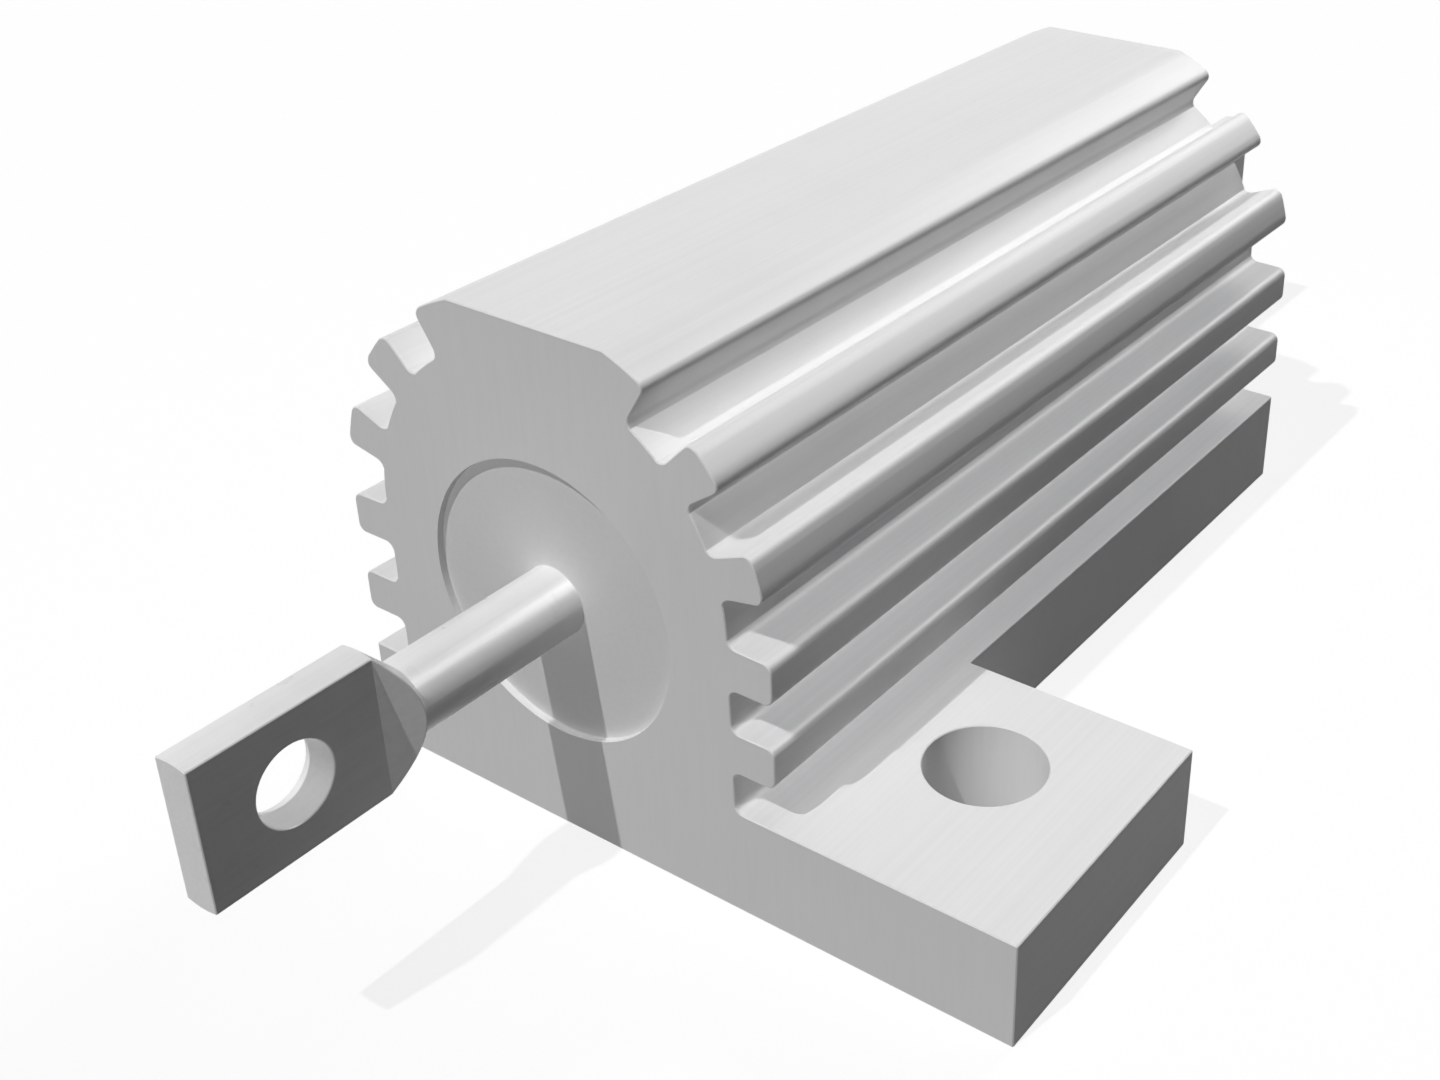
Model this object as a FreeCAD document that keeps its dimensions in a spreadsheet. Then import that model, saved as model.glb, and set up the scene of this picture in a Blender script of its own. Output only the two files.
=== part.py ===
import FreeCAD, Part
import math
import os
import re
import Sketcher
from FreeCAD import Placement, Rotation, Vector

# Aluminium housed resistor: a wirewound element sealed in a finned extrusion
# with two diagonal mounting feet and a solder lug at each end.
# Millimetres. The origin is at the middle of the underside, +Y runs along
# the bore and +Z points up; the front lug points to -Y.

# Driving sizes
SIZES = {
    # Housing: the length cut off and the outline of the extrusion
    "body_length": 28.6,
    "body_width": 14.25,
    "flange_thickness": 3.15,
    "flank_height": 5.09,
    "top_flat_width": 5.06,
    # Feet: the mounting hole's place between the flank and the foot's edges
    "hole_diameter": 3.3,
    "hole_from_flank": 2.775,
    "hole_from_edge": 4.1,
    "hole_from_end": 5.15,
    "foot_beyond_hole": 3.6,
    # Bore for the element and the wall under it
    "bore_diameter": 8.0,
    "bore_floor": 3.13,
    # Fins: level ones on the flanks, radial ones from there up to the top flat
    "fin_depth": 1.3,
    "straight_groove_count": 2,
    "straight_fin_thickness": 1.2,
    "radial_groove_count": 3,
    "radial_fin_angle": 10.6,
    "first_flank_droop": 1.5,
    "top_shoulder_angle": 11.1,
    "groove_root_radius": 0.25,
    "fin_tip_radius": 0.25,
    # The most of a groove or fin that one rounding may take up
    "rounding_share": 0.45,
    # Element: stepped ceramic rod, pressed end caps and a layer of resistance ribbon
    "element_setback": 4.45,
    "core_diameter": 4.6,
    "cap_wall": 0.25,
    "cap_depth": 2.4,
    "cap_floor": 0.35,
    "ribbon_width": 0.7,
    "ribbon_gap": 0.65,
    "ribbon_thickness": 0.16,
    "ribbon_lap": 1.0,
    "ribbon_clearance": 0.01,
    # Moulding that fills the bore, set back from each end of the housing
    "seal_recess": 0.2,
    # Solder lugs: round shank, swaged to a flat blade with an eye
    "shank_reach": 5.03,
    "shank_diameter": 1.95,
    "flare_length": 0.92,
    "blade_round_diameter": 3.96,
    "blade_thickness": 1.0,
    "facet_angle": 30.0,
    "eye_diameter": 2.1,
    "eye_from_root": 2.45,
    "eye_from_tip": 2.5,
    "weld_head_overhang": 0.525,
    "weld_head_thickness": 0.4,
}

# Sizes worked out from the driving ones
WORKED_OUT = {
    "arch_height": "=flange_thickness + flank_height",
    "body_height": "=arch_height + sqrt((body_width / 2) ^ 2 - (top_flat_width / 2) ^ 2)",
    "hole_pitch_across": "=body_width + 2 * hole_from_flank",
    "hole_pitch_along": "=body_length - 2 * hole_from_end",
    "flange_width": "=hole_pitch_across + 2 * hole_from_edge",
    "foot_length": "=hole_from_end + foot_beyond_hole",
    "bore_height": "=bore_floor + bore_diameter / 2",
    "groove_floor_radius": "=body_width / 2 - fin_depth",
    "groove_cut_reach": "=body_width / 2 + fin_depth",
    "straight_fins_top": "=arch_height - body_width / 2 * sin(first_flank_droop)",
    "straight_groove_step": "=(straight_fins_top - flange_thickness) / straight_groove_count",
    "straight_groove_width": "=straight_groove_step - straight_fin_thickness",
    "flat_corner_angle": "=acos(top_flat_width / body_width) / 1deg",
    "radial_fan_span": "=first_flank_droop + flat_corner_angle - top_shoulder_angle",
    "radial_fins_span": "=(radial_groove_count - 1) * radial_fin_angle",
    "radial_groove_span": "=(radial_fan_span - radial_fins_span) / radial_groove_count",
    "radial_groove_step": "=radial_groove_span + radial_fin_angle",
    "radial_groove_width": "=2 * groove_floor_radius * sin(radial_groove_span / 2)",
    "radial_fin_thickness": "=body_width * sin(radial_fin_angle / 2)",
    "narrowest_groove": "=min(straight_groove_width; radial_groove_width; fin_depth)",
    "thinnest_fin": "=min(straight_fin_thickness; radial_fin_thickness; fin_depth)",
    "root_rounding_radius": "=min(groove_root_radius; rounding_share * narrowest_groove)",
    "tip_rounding_radius": "=min(fin_tip_radius; rounding_share * thinnest_fin)",
    "core_length": "=body_length - 2 * (element_setback + cap_floor)",
    "cap_inner_diameter": "=core_diameter - 2 * cap_wall",
    "element_half": "=core_length / 2 + cap_floor",
    "winding_radius": "=core_diameter / 2 + ribbon_clearance",
    "winding_length": "=core_length - 2 * cap_depth + 2 * ribbon_lap",
    "ribbon_turns": "=round(winding_length / (ribbon_width + ribbon_gap))",
    "winding_space_radius": "=winding_radius + ribbon_thickness + ribbon_clearance",
    "winding_space_half": "=winding_length / 2 + ribbon_width / 2 + ribbon_clearance",
    "seal_half": "=body_length / 2 - seal_recess",
    "flare_end_distance": "=body_length / 2 + shank_reach",
    "blade_root_distance": "=flare_end_distance + flare_length",
    "tip_distance": "=blade_root_distance + eye_from_root + eye_from_tip",
    "blade_cut_reach": "=blade_round_diameter",
    "weld_head_diameter": "=shank_diameter + 2 * weld_head_overhang",
}

doc = FreeCAD.newDocument("housed_resistor")
sheet = doc.addObject("Spreadsheet::Sheet", "Sizes")


def fill_sheet():
    """Writes one named cell for each size, the driving ones first."""
    rows = {**SIZES, **WORKED_OUT}
    for row, (alias, content) in enumerate(rows.items(), start=1):
        sheet.set(f"A{row}", alias)
        sheet.set(f"B{row}", str(content))
        sheet.setAlias(f"B{row}", alias)
    doc.recompute()


def bound(formula):
    """A formula over sizes, with each size read from the sheet. Every size has an underscore in its name."""
    return re.sub(r"\b[a-z]+_\w+", r"Sizes.\g<0>", formula)


def value(formula):
    """What a formula over sizes comes to now."""
    return float(sheet.evalExpression(bound(formula)))


def bind(feature, **formulas):
    """Ties a feature's properties to formulas over sizes."""
    for name, formula in formulas.items():
        feature.setExpression(name, bound(formula))


def new_body(label):
    """An empty body whose label names the piece."""
    body = doc.addObject("PartDesign::Body", label)
    body.Label = label
    return body


def origin_item(body, role):
    """One of the body's own origin planes or axes, such as XY_Plane."""
    return next(item for item in body.Origin.OriginFeatures if item.Role == role)


def new_sketch(body, role, name):
    """A sketch on one of the body's own origin planes."""
    sketch = body.newObject("Sketcher::SketchObject", name)
    sketch.AttachmentSupport = [(origin_item(body, role), "")]
    sketch.MapMode = "FlatFace"
    return sketch


def dimension(sketch, kind, geometry, point, formula):
    """A driving distance from the sketch's origin to a point, bound to the sheet."""
    index = sketch.addConstraint(Sketcher.Constraint(kind, -1, 1, geometry, point, value(formula)))
    name = f"{kind}_{index}"
    sketch.renameConstraint(index, name)
    sketch.setExpression(f"Constraints.{name}", bound(formula))


def place_point(sketch, geometry, point, across, up):
    """Fixes a point by two dimensions, one along each of the sketch's axes."""
    dimension(sketch, "DistanceX", geometry, point, across)
    dimension(sketch, "DistanceY", geometry, point, up)


def outline(sketch, corners):
    """A closed outline of straight lines between corners, each given as two formulas."""
    points = [Vector(value(across), value(up), 0) for across, up in corners]
    first = sketch.GeometryCount
    count = len(points)
    for number in range(count):
        sketch.addGeometry(Part.LineSegment(points[number], points[(number + 1) % count]), False)
    for number in range(count):
        following = first + (number + 1) % count
        sketch.addConstraint(Sketcher.Constraint("Coincident", first + number, 2, following, 1))
    for number, (across, up) in enumerate(corners):
        place_point(sketch, first + number, 1, across, up)


def circle(sketch, across, up, diameter):
    """A circle with its centre and diameter bound to the sheet."""
    centre = Vector(value(across), value(up), 0)
    index = sketch.addGeometry(Part.Circle(centre, Vector(0, 0, 1), value(diameter) / 2), False)
    place_point(sketch, index, 3, across, up)
    size = sketch.addConstraint(Sketcher.Constraint("Diameter", index, value(diameter)))
    sketch.renameConstraint(size, "diameter")
    sketch.setExpression("Constraints.diameter", bound(diameter))


def pad_both_ways(body, sketch, name, length):
    """A solid of the sketch's outline, half its length to each side of the sketch."""
    pad = body.newObject("PartDesign::Pad", name)
    pad.Profile = sketch
    pad.SideType = "Symmetric"
    bind(pad, Length=length)


def pocket(body, sketch, name):
    """A cut through the whole piece, to both sides of the sketch."""
    cut = body.newObject("PartDesign::Pocket", name)
    cut.Profile = sketch
    cut.SideType = "Symmetric"
    cut.Type = "ThroughAll"
    return cut


def both_sides(body, name, originals, repeat):
    """Repeats cuts by a pattern and mirrors the lot to the other side of the bore."""
    mirror = body.newObject("PartDesign::Mirrored", f"{name}_mirror")
    mirror.MirrorPlane = (origin_item(body, "YZ_Plane"), [""])
    series = body.newObject("PartDesign::MultiTransform", name)
    series.Originals = originals
    series.Transformations = [repeat, mirror]
    body.Tip = series


def extrusion_blank(body):
    """The outline of the extrusion: flange, straight flanks, round arch and a flat top."""
    sketch = new_sketch(body, "XZ_Plane", "extrusion_outline")
    half_flange = value("flange_width / 2")
    half_body = value("body_width / 2")
    flange_top = value("flange_thickness")
    arch_height = value("arch_height")
    top = value("body_height")
    half_flat = math.sqrt(half_body**2 - (top - arch_height) ** 2)
    flat_angle = math.acos(half_flat / half_body)
    centre = Vector(0, arch_height, 0)
    arch = Part.Circle(centre, Vector(0, 0, 1), half_body)
    edges = [
        Part.LineSegment(Vector(-half_flange, 0, 0), Vector(half_flange, 0, 0)),
        Part.LineSegment(Vector(half_flange, 0, 0), Vector(half_flange, flange_top, 0)),
        Part.LineSegment(Vector(half_flange, flange_top, 0), Vector(half_body, flange_top, 0)),
        Part.LineSegment(Vector(half_body, flange_top, 0), Vector(half_body, arch_height, 0)),
        Part.ArcOfCircle(arch, 0, flat_angle),
        Part.LineSegment(Vector(half_flat, top, 0), Vector(-half_flat, top, 0)),
        Part.ArcOfCircle(arch, math.pi - flat_angle, math.pi),
        Part.LineSegment(Vector(-half_body, arch_height, 0), Vector(-half_body, flange_top, 0)),
        Part.LineSegment(Vector(-half_body, flange_top, 0), Vector(-half_flange, flange_top, 0)),
        Part.LineSegment(Vector(-half_flange, flange_top, 0), Vector(-half_flange, 0, 0)),
    ]
    for edge in edges:
        sketch.addGeometry(edge, False)
    for number in range(len(edges)):
        sketch.addConstraint(Sketcher.Constraint("Coincident", number, 2, (number + 1) % len(edges), 1))
    right_arc, left_arc = 4, 6
    place_point(sketch, 0, 1, "-flange_width / 2", "0")
    place_point(sketch, 1, 1, "flange_width / 2", "0")
    place_point(sketch, 2, 1, "flange_width / 2", "flange_thickness")
    place_point(sketch, 3, 1, "body_width / 2", "flange_thickness")
    place_point(sketch, right_arc, 3, "0", "arch_height")
    place_point(sketch, right_arc, 1, "body_width / 2", "arch_height")
    dimension(sketch, "DistanceY", right_arc, 2, "body_height")
    place_point(sketch, left_arc, 3, "0", "arch_height")
    place_point(sketch, left_arc, 2, "-body_width / 2", "arch_height")
    dimension(sketch, "DistanceY", left_arc, 1, "body_height")
    place_point(sketch, 8, 1, "-body_width / 2", "flange_thickness")
    place_point(sketch, 9, 1, "-flange_width / 2", "flange_thickness")
    pad_both_ways(body, sketch, "extrusion", "body_length")


def radial_grooves(body):
    """Grooves whose flanks point at the centre of the arch, each a slice of a ring."""
    sketch = new_sketch(body, "XZ_Plane", "radial_groove")
    sketch.setExpression("AttachmentOffset.Base.y", bound("arch_height"))
    low = math.radians(value("-first_flank_droop"))
    high = math.radians(value("radial_groove_span - first_flank_droop"))
    floor = value("groove_floor_radius")
    reach = value("groove_cut_reach")
    middle = Vector(0, 0, 0)
    upright = Vector(0, 0, 1)

    def at(radius, angle):
        return Vector(radius * math.cos(angle), radius * math.sin(angle), 0)

    sketch.addGeometry(Part.ArcOfCircle(Part.Circle(middle, upright, floor), low, high), False)
    sketch.addGeometry(Part.LineSegment(at(floor, high), at(reach, high)), False)
    sketch.addGeometry(Part.ArcOfCircle(Part.Circle(middle, upright, reach), low, high), False)
    sketch.addGeometry(Part.LineSegment(at(reach, low), at(floor, low)), False)
    for first, end, second, start in ((0, 2, 1, 1), (1, 2, 2, 2), (2, 1, 3, 1), (3, 2, 0, 1)):
        sketch.addConstraint(Sketcher.Constraint("Coincident", first, end, second, start))
    sketch.addConstraint(Sketcher.Constraint("Coincident", 0, 3, -1, 1))
    sketch.addConstraint(Sketcher.Constraint("Coincident", 2, 3, -1, 1))
    for arc, radius in ((0, "groove_floor_radius"), (2, "groove_cut_reach")):
        index = sketch.addConstraint(Sketcher.Constraint("Radius", arc, value(radius)))
        sketch.renameConstraint(index, radius)
        sketch.setExpression(f"Constraints.{radius}", bound(radius))
    for point, angle in ((1, "-first_flank_droop"), (2, "radial_groove_span - first_flank_droop")):
        dimension(sketch, "DistanceY", 0, point, f"groove_floor_radius * sin({angle})")
        dimension(sketch, "DistanceY", 2, point, f"groove_cut_reach * sin({angle})")
    cut = pocket(body, sketch, "radial_groove_cut")
    fan = body.newObject("PartDesign::PolarPattern", "radial_groove_fan")
    fan.Axis = (sketch, ["N_Axis"])
    fan.Mode = "Spacing"
    bind(fan, Offset="radial_groove_step", Occurrences="radial_groove_count")
    both_sides(body, "radial_grooves", [cut], fan)


def straight_grooves(body):
    """Level grooves in the straight flanks, the lowest one standing on the flange."""
    sketch = new_sketch(body, "XZ_Plane", "straight_groove")
    groove_top = "flange_thickness + straight_groove_width"
    outline(sketch, [
        ("groove_floor_radius", "flange_thickness"),
        ("groove_cut_reach", "flange_thickness"),
        ("groove_cut_reach", groove_top),
        ("groove_floor_radius", groove_top),
    ])
    cut = pocket(body, sketch, "straight_groove_cut")
    stack = body.newObject("PartDesign::LinearPattern", "straight_groove_stack")
    stack.Direction = (sketch, ["V_Axis"])
    stack.Mode = "Spacing"
    bind(stack, Offset="straight_groove_step", Occurrences="straight_groove_count")
    both_sides(body, "straight_grooves", [cut], stack)


def distance_from_spine(edge):
    """How far a lengthwise edge lies from the spine that the fins grow from."""
    point = edge.CenterOfMass
    above_arch_centre = max(point.z - value("arch_height"), 0)
    return math.hypot(point.x, above_arch_centre)


def lengthwise_corners(shape, at_root):
    """Names of the sharp lengthwise edges between flange and top flat: groove roots or fin tips."""
    near = 0.001
    middle = value("groove_floor_radius + fin_depth / 2")
    names = []
    for number, edge in enumerate(shape.Edges, start=1):
        height = edge.CenterOfMass.z
        along = edge.Curve.TypeId == "Part::GeomLine" and abs(edge.tangentAt(0).y) > 1 - near
        inside = abs(edge.CenterOfMass.x) < value("body_width / 2") + near
        between = value("flange_thickness") - near < height < value("body_height") - near
        smooth = abs(height - value("arch_height")) < near
        wanted = (distance_from_spine(edge) < middle) == at_root
        if along and inside and between and not smooth and wanted:
            names.append(f"Edge{number}")
    return names


def rounded_corners(body, name, at_root, radius):
    """Rounds every groove root, or every fin tip, along the whole length."""
    doc.recompute()
    before = body.Tip
    rounding = body.newObject("PartDesign::Fillet", name)
    rounding.Base = (before, lengthwise_corners(before.Shape, at_root))
    bind(rounding, Radius=radius)


def bore(body):
    """The hole for the element, right through the housing."""
    sketch = new_sketch(body, "XZ_Plane", "bore_circle")
    circle(sketch, "0", "bore_height", "bore_diameter")
    pocket(body, sketch, "bore")


def diagonal_feet(body):
    """Mills the flange away beside each foot and drills the foot, then the same turned half round."""
    beside = new_sketch(body, "XY_Plane", "flange_waste")
    foot_end = "foot_length - body_length / 2"
    outline(beside, [
        ("body_width / 2", foot_end),
        ("flange_width", foot_end),
        ("flange_width", "body_length"),
        ("body_width / 2", "body_length"),
    ])
    waste = body.newObject("PartDesign::Pocket", "flange_cut")
    waste.Profile = beside
    waste.Reversed = True
    bind(waste, Length="flange_thickness")

    centre = new_sketch(body, "XY_Plane", "hole_circle")
    circle(centre, "hole_pitch_across / 2", "-hole_pitch_along / 2", "hole_diameter")
    hole = body.newObject("PartDesign::Pocket", "mounting_hole")
    hole.Profile = centre
    hole.Reversed = True
    bind(hole, Length="flange_thickness")

    pair = body.newObject("PartDesign::PolarPattern", "diagonal_pair")
    pair.Originals = [waste, hole]
    pair.Axis = (origin_item(body, "Z_Axis"), [""])
    pair.Occurrences = 2
    body.Tip = pair


def make_housing():
    """One length of finned extrusion, bored and milled to two diagonal feet."""
    body = new_body("housing")
    extrusion_blank(body)
    radial_grooves(body)
    straight_grooves(body)
    rounded_corners(body, "root_rounding", True, "root_rounding_radius")
    rounded_corners(body, "tip_rounding", False, "tip_rounding_radius")
    bore(body)
    diagonal_feet(body)
    return body


def turned(body, name, corners):
    """A solid of revolution about the body's Y axis, from an outline of radius against length."""
    sketch = new_sketch(body, "XY_Plane", f"{name}_section")
    outline(sketch, corners)
    solid = body.newObject("PartDesign::Revolution", name)
    solid.Profile = sketch
    solid.ReferenceAxis = (sketch, ["V_Axis"])
    solid.Angle = 360


def on_bore_axis(body, half_turn=False):
    """Lifts a body to the bore's axis; the rear one of a pair is the front one turned half round."""
    body.setExpression("Placement.Base.z", bound("bore_height"))
    if half_turn:
        body.Placement = Placement(Vector(0, 0, value("bore_height")), Rotation(Vector(0, 0, 1), 180))


def make_core():
    """Ceramic rod, stepped down at both ends so that the caps lie flush with it."""
    body = new_body("ceramic_core")
    shoulder = "core_length / 2 - cap_depth"
    turned(body, "core", [
        ("0", "-core_length / 2"),
        ("cap_inner_diameter / 2", "-core_length / 2"),
        ("cap_inner_diameter / 2", f"-({shoulder})"),
        ("core_diameter / 2", f"-({shoulder})"),
        ("core_diameter / 2", shoulder),
        ("cap_inner_diameter / 2", shoulder),
        ("cap_inner_diameter / 2", "core_length / 2"),
        ("0", "core_length / 2"),
    ])
    on_bore_axis(body)
    return body


def make_end_cap(label, half_turn):
    """Pressed steel cup over the stepped end of the core."""
    body = new_body(label)
    rim = "cap_depth - core_length / 2"
    turned(body, "cup", [
        ("0", "-element_half"),
        ("core_diameter / 2", "-element_half"),
        ("core_diameter / 2", rim),
        ("cap_inner_diameter / 2", rim),
        ("cap_inner_diameter / 2", "-core_length / 2"),
        ("0", "-core_length / 2"),
    ])
    on_bore_axis(body, half_turn)
    return body


def make_winding():
    """Resistance ribbon, one layer wound flat on the core from cap to cap, lapping on to both."""
    body = new_body("resistance_ribbon")
    sketch = new_sketch(body, "XY_Plane", "ribbon_section")
    start = "-winding_length / 2"
    outline(sketch, [
        ("winding_radius", f"{start} - ribbon_width / 2"),
        ("winding_radius + ribbon_thickness", f"{start} - ribbon_width / 2"),
        ("winding_radius + ribbon_thickness", f"{start} + ribbon_width / 2"),
        ("winding_radius", f"{start} + ribbon_width / 2"),
    ])
    coil = body.newObject("PartDesign::AdditiveHelix", "winding")
    coil.Profile = sketch
    coil.ReferenceAxis = (sketch, ["V_Axis"])
    coil.Mode = "height-turns-angle"
    bind(coil, Height="winding_length", Turns="ribbon_turns")
    on_bore_axis(body)
    return body


def make_moulding():
    """Silicone moulding that fills the bore round the element and closes both ends round the shanks."""
    body = new_body("moulding")
    steps = [
        ("shank_diameter / 2", "seal_half"),
        ("shank_diameter / 2", "element_half + weld_head_thickness"),
        ("weld_head_diameter / 2", "element_half + weld_head_thickness"),
        ("weld_head_diameter / 2", "element_half"),
        ("core_diameter / 2", "element_half"),
        ("core_diameter / 2", "winding_space_half"),
        ("winding_space_radius", "winding_space_half"),
    ]
    inside = steps + [(radius, f"-({length})") for radius, length in reversed(steps)]
    turned(body, "filling", inside + [
        ("bore_diameter / 2", "-seal_half"),
        ("bore_diameter / 2", "seal_half"),
    ])
    on_bore_axis(body)
    return body


def make_lug(label, half_turn):
    """Solder lug: a headed round shank, upset to a larger round that is swaged flat and pierced."""
    body = new_body(label)
    turned(body, "rod", [
        ("0", "-tip_distance"),
        ("blade_round_diameter / 2", "-tip_distance"),
        ("blade_round_diameter / 2", "-blade_root_distance"),
        ("shank_diameter / 2", "-flare_end_distance"),
        ("shank_diameter / 2", "-(element_half + weld_head_thickness)"),
        ("weld_head_diameter / 2", "-(element_half + weld_head_thickness)"),
        ("weld_head_diameter / 2", "-element_half"),
        ("0", "-element_half"),
    ])
    flat = new_sketch(body, "XY_Plane", "flat_waste")
    slope = "(blade_cut_reach - blade_thickness / 2) / tan(facet_angle)"
    outline(flat, [
        ("blade_thickness / 2", "-(tip_distance + blade_cut_reach)"),
        ("blade_cut_reach", "-(tip_distance + blade_cut_reach)"),
        ("blade_cut_reach", f"-blade_root_distance + {slope}"),
        ("blade_thickness / 2", "-blade_root_distance"),
    ])
    swage = pocket(body, flat, "swaged_side")
    opposite = body.newObject("PartDesign::Mirrored", "swaged_sides")
    opposite.Originals = [swage]
    opposite.MirrorPlane = (origin_item(body, "YZ_Plane"), [""])
    body.Tip = opposite

    ring = new_sketch(body, "YZ_Plane", "eye_circle")
    circle(ring, "-tip_distance + eye_from_tip", "0", "eye_diameter")
    pocket(body, ring, "eye")
    on_bore_axis(body, half_turn)
    return body


def make_parts():
    """Every piece, from the housing in."""
    ends = (("front", False), ("rear", True))
    bodies = [make_housing(), make_moulding(), make_core(), make_winding()]
    bodies += [make_end_cap(f"{end}_end_cap", half_turn) for end, half_turn in ends]
    bodies += [make_lug(f"{end}_terminal", half_turn) for end, half_turn in ends]
    return bodies


def check(bodies):
    """Stops if any feature failed, a sketch is loose or a piece isn't one sound solid."""
    for item in doc.Objects:
        if "Invalid" in item.State or "Error" in item.State:
            raise RuntimeError(f"{item.Label} failed: {item.State}")
        if item.TypeId == "Sketcher::SketchObject" and not item.FullyConstrained:
            raise RuntimeError(f"{item.Label} isn't fully constrained")
    for body in bodies:
        shape = body.Shape
        if shape.isNull() or not shape.isValid() or len(shape.Solids) != 1:
            raise RuntimeError(f"{body.Label} isn't one sound solid")


def main():
    """Builds the pieces, checks them and writes one file for each."""
    fill_sheet()
    bodies = make_parts()
    doc.recompute()
    check(bodies)
    os.makedirs("parts", exist_ok=True)
    for body in bodies:
        body.Shape.exportStep(f"parts/{body.Label}.step")
        box = body.Shape.BoundBox
        print(f"{body.Label}: {body.Shape.Volume:.3f} mm3, {len(body.Shape.Faces)} faces, "
              f"{box.XLength:.2f} x {box.YLength:.2f} x {box.ZLength:.2f} mm")


main()
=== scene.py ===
import math

import bmesh
import bpy
from bpy.props import FloatProperty, FloatVectorProperty, IntProperty, PointerProperty
from mathutils import Matrix, Quaternion, Vector


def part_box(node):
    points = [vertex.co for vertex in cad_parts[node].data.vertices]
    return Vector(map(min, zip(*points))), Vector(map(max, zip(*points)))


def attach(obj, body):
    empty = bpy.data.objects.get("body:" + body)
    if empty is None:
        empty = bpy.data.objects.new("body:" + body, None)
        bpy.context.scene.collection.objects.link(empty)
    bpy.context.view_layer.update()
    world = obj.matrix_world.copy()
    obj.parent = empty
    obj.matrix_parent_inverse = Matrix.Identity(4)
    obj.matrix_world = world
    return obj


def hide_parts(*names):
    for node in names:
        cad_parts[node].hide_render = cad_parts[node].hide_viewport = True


bl_info = {
    "name": "Housed Resistor",
    "version": (1, 0, 0),
    "blender": (4, 5, 0),
    "location": "View3D > Sidebar > Resistor",
    "description": "Models a chassis-mount resistor: finned housing, moulded seals, solder lugs",
    "category": "Add Mesh",
}

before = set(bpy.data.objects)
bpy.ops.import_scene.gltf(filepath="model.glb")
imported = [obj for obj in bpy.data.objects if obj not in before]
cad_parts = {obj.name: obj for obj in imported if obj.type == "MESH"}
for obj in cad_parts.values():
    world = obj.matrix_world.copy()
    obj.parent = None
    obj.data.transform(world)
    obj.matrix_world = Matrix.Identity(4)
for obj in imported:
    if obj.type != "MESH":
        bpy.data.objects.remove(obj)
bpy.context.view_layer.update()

MM = 0.001
WHITE = (1.0, 1.0, 1.0, 1.0)
# Width of the camera's sensor in millimetres.
SENSOR_WIDTH = 36.0
# Points nearer than this to each other are one point, and one this near a plane is on it.
WELD = 1e-7
# An edge that turns by more than this is shaded as an edge.
SHARP_ANGLE = math.radians(24)
# An edge that turns by more than this is deburred.
BROKEN_ANGLE = math.radians(50)
# Places in a piece's list of materials. Only the housing has the second.
MAIN_FINISH, CUT_FINISH = 0, 1

HOUSING_LOW, HOUSING_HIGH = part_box("housing")
MOULDING_LOW, MOULDING_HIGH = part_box("moulding")
FRONT_LUG_LOW, FRONT_LUG_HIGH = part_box("front_terminal")
CORE_LOW, CORE_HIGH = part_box("ceramic_core")
RIBBON_LOW, RIBBON_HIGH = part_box("resistance_ribbon")
BORE_HEIGHT = (MOULDING_LOW.z + MOULDING_HIGH.z) / 2
BORE_RADIUS = MOULDING_HIGH.x


def length(label, description, millimetres):
    """A length whose default is given in millimetres."""
    return FloatProperty(
        name=label, description=description, default=millimetres * MM, min=0.0, unit="LENGTH"
    )


def angle(label, description, degrees):
    """An angle whose default is given in degrees."""
    return FloatProperty(
        name=label, description=description, default=math.radians(degrees), subtype="ANGLE"
    )


def share(label, description, default):
    """A plain number from none to all."""
    return FloatProperty(
        name=label, description=description, default=default, min=0.0, max=1.0, subtype="FACTOR"
    )


def number_of(label, description, default):
    """A number of like features, at least one."""
    return IntProperty(name=label, description=description, default=default, min=1)


def light_level(label, description, default):
    """A strength of light, which has no unit of its own in the editor."""
    return FloatProperty(name=label, description=description, default=default, min=0.0)


def towards(label, description, across, along, up):
    """A direction towards a lamp."""
    return FloatVectorProperty(
        name=label, description=description, default=(across, along, up), subtype="DIRECTION"
    )


def colour(label, description, red, green, blue):
    """A colour in linear light."""
    return FloatVectorProperty(
        name=label, description=description, default=(red, green, blue), subtype="COLOR"
    )


class RESISTOR_PG_extrusion(bpy.types.PropertyGroup):
    """Section of the extrusion and the feet that are milled from its flange"""

    body_width: length("Body width", "Width over the fins, without the feet", 14.25)
    flange_thickness: length("Flange thickness", "Thickness of the feet", 3.15)
    flank_height: length("Flank height", "From the flange's top up to the centre of the arch", 5.09)
    fin_depth: length("Fin depth", "How far the fins stand out from the wall", 1.3)
    straight_grooves: number_of("Straight grooves", "Level grooves in each flank", 2)
    straight_fin: length("Straight fin", "Thickness of a level fin", 1.2)
    radial_grooves: number_of("Radial grooves", "Grooves round each side of the arch", 3)
    radial_fin: angle("Radial fin", "Angle that a radial fin spans", 10.6)
    flank_droop: angle("Flank droop", "How far below level the first radial groove starts", 1.5)
    top_shoulder: angle("Top shoulder", "Angle from the last groove up to the flat on top", 11.1)
    root_radius: length("Root radius", "Rounding at the foot of a fin", 0.25)
    tip_radius: length("Tip radius", "Rounding of a fin's edges", 0.25)
    edge_break: length("Edge break", "Chamfer left by deburring every sawn or milled edge", 0.03)
    foot_length: length("Foot length", "Length of each foot along the body", 8.75)
    hole_from_flank: length("Hole from flank", "From the body's flank to the hole's centre", 2.775)
    hole_from_end: length("Hole from end", "From the end face to the hole's centre", 5.15)
    hole_diameter: length("Hole diameter", "Mounting hole in each foot", 3.3)


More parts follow.
